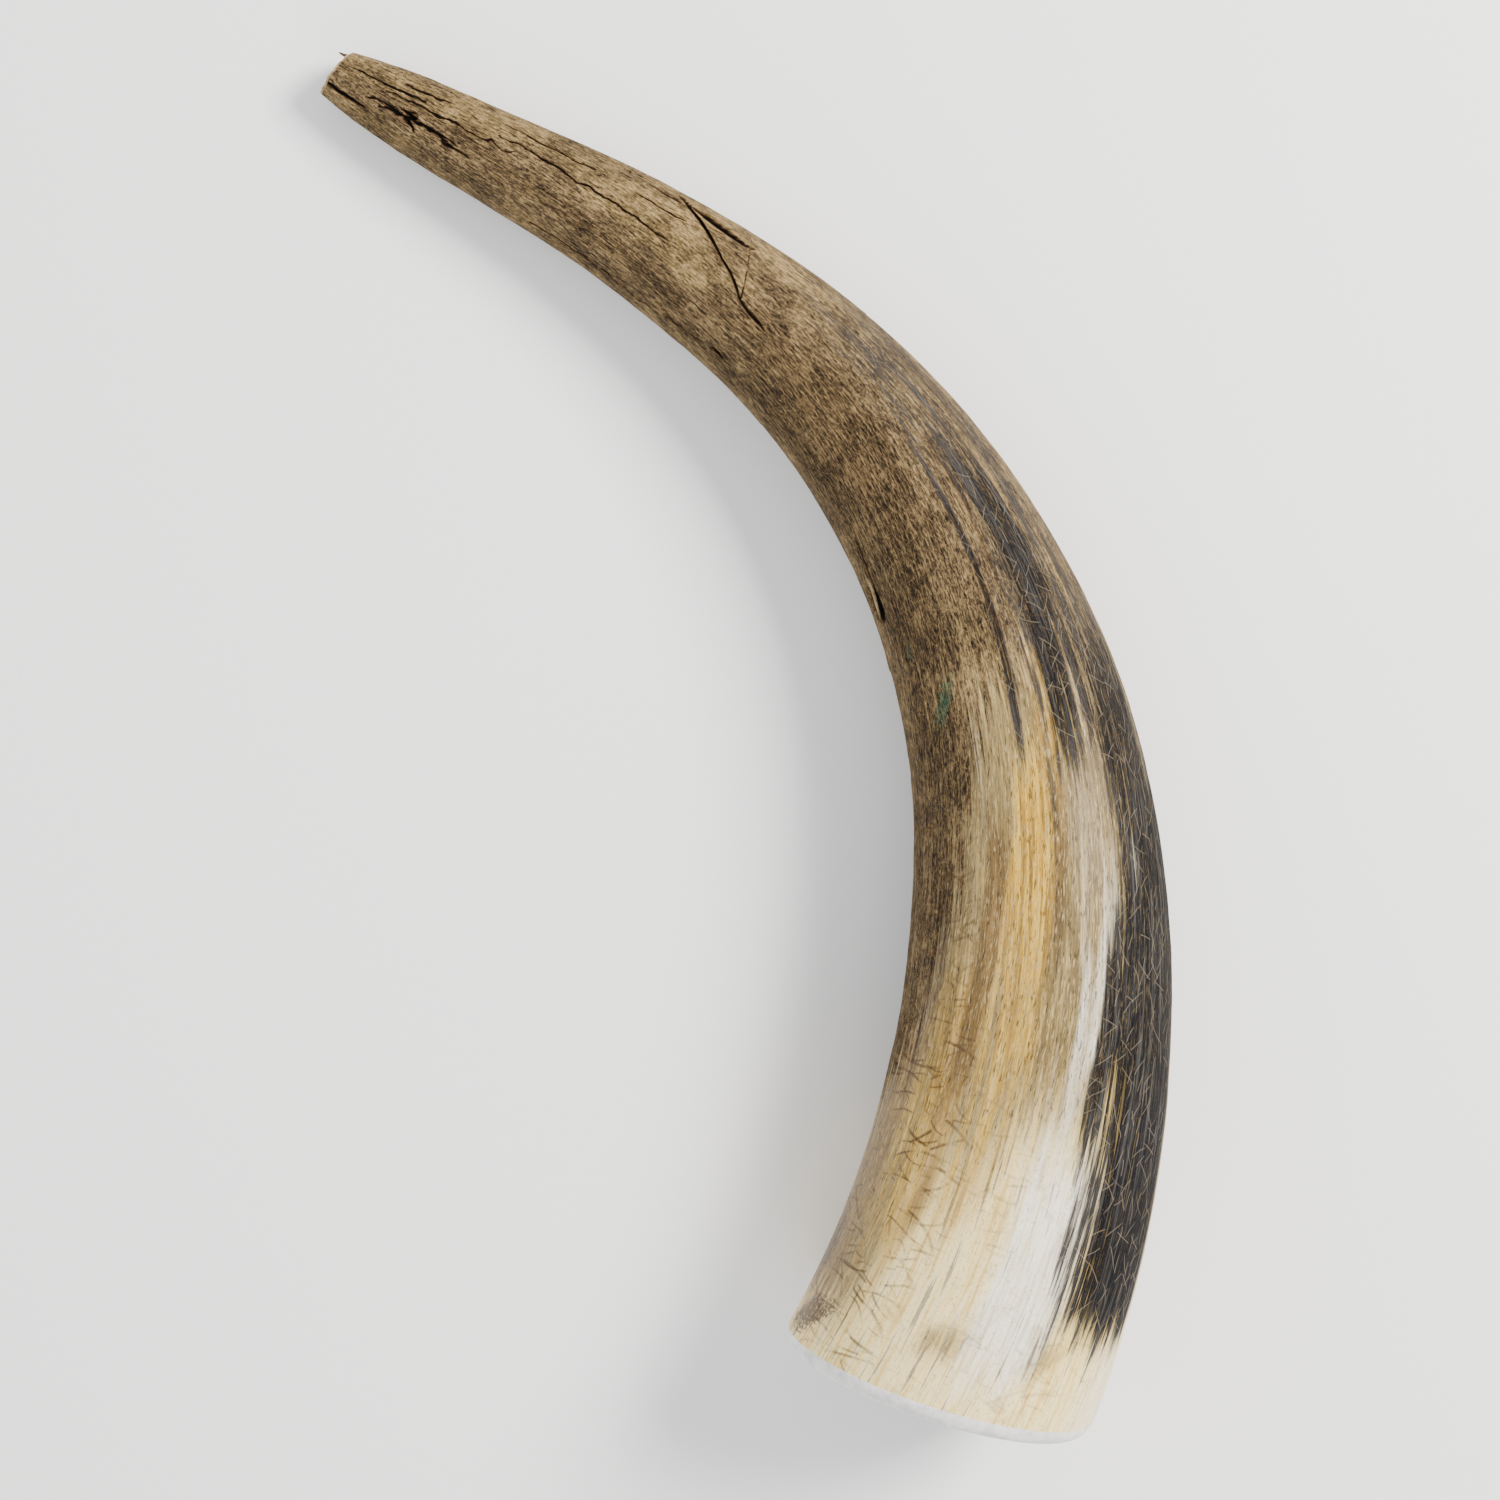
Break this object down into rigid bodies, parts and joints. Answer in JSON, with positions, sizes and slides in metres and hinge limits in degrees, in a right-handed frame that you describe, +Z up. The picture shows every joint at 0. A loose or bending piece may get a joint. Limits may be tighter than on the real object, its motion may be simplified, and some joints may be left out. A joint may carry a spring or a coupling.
{
  "type": "shofar",
  "caption": "Natural curved animal horn opened at both ends, played as a wind instrument, with a drilled mouth end and a wide open bell.",
  "frame": {"origin": "centre of the bounding box at its lowest level, which is the surface the horn lies on", "axes": "+Z up; the horn lies on its side with its bell towards -Y and its mouth end towards -X +Y; +Y is its longest extent, +Z its shortest"},
  "size_m": [0.191, 0.3116, 0.0668],
  "materials": {
    "weathered_horn": "matt weathered horn bark with cracks along the grain",
    "streaked_horn": "half worn horn, satin, with dark and golden streaks",
    "polished_horn": "smooth cream horn with a soft gloss and a frosted ground rim"
  },
  "bodies": {
    "root": {"tip_cone": "weathered_horn", "bark_cone": "weathered_horn", "waist_cone": "streaked_horn", "bell_cone": "polished_horn", "split_flake": "weathered_horn", "mouth_splinter": "weathered_horn", "notch_sliver": "weathered_horn"}
  },
  "joints": []
}
